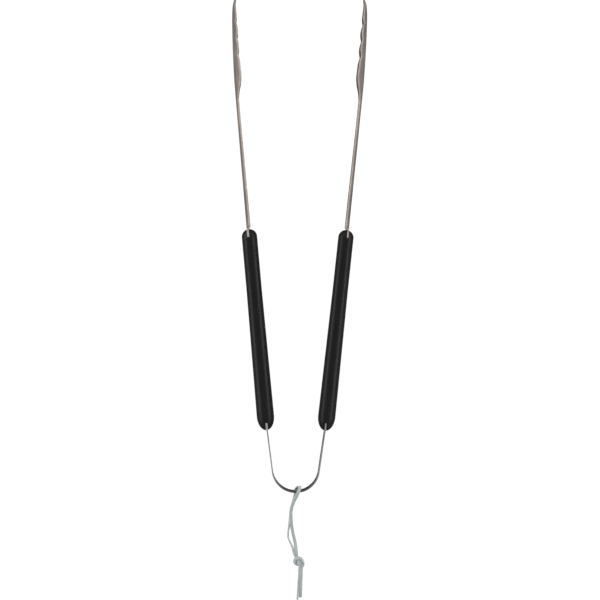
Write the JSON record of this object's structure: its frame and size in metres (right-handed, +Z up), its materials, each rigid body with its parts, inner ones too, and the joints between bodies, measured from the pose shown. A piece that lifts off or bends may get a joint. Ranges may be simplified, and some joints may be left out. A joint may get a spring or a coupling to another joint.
{
  "type": "spring tongs",
  "caption": "Long spring tongs: two pressed steel arms with scalloped scoops, round black grips, a bent strip bow and a knotted suede hanging lace.",
  "frame": {"origin": "centre of the tongs' footprint, on the surface that they lie on", "axes": "+Y from the crown of the bow to the tips, +X to the right arm, +Z up from the surface"},
  "size_m": [0.1236, 0.551, 0.0329],
  "materials": {
    "spring_steel": "bright rolled strip with fine lengthwise brushing",
    "arm_steel": "satin pressed sheet with a grey-brown cast",
    "grip": "turned, stained black, satin",
    "rivet_steel": "ground flush",
    "lace": "pale grey-green suede, matt"
  },
  "bodies": {
    "bow": {"bow_spring": "spring_steel", "lace_strand_a": "lace", "lace_strand_b": "lace", "lace_knot": "lace", "lace_tail_a": "lace", "lace_tail_b": "lace"},
    "left_arm": {"left_arm": "arm_steel", "left_inner_scale": "grip", "left_outer_scale": "grip", "left_grip_rivet_1": "rivet_steel", "left_grip_rivet_2": "rivet_steel", "left_grip_rivet_3": "rivet_steel", "left_tang_rivet_1": "rivet_steel", "left_tang_rivet_2": "rivet_steel"},
    "right_arm": {"right_arm": "arm_steel", "right_inner_scale": "grip", "right_outer_scale": "grip", "right_grip_rivet_1": "rivet_steel", "right_grip_rivet_2": "rivet_steel", "right_grip_rivet_3": "rivet_steel", "right_tang_rivet_1": "rivet_steel", "right_tang_rivet_2": "rivet_steel"}
  },
  "joints": [
    {"name": "left_arm_flex", "type": "hinge", "parent": "bow", "child": "left_arm", "pos_m": [-0.02124, -0.20704, 0.00792], "axis": [0, 0.0227, -0.9997], "range_deg": [0, 7.5], "stiffness_Nm_per_rad": 10, "deforming": ["bow_spring"]},
    {"name": "right_arm_flex", "type": "hinge", "parent": "bow", "child": "right_arm", "pos_m": [0.02124, -0.20704, 0.00792], "axis": [0, -0.0227, 0.9997], "range_deg": [0, 7.5], "stiffness_Nm_per_rad": 10, "deforming": ["bow_spring"]}
  ],
  "couplings": [
    {"joint": "right_arm_flex", "follows": "left_arm_flex", "ratio": 1}
  ]
}
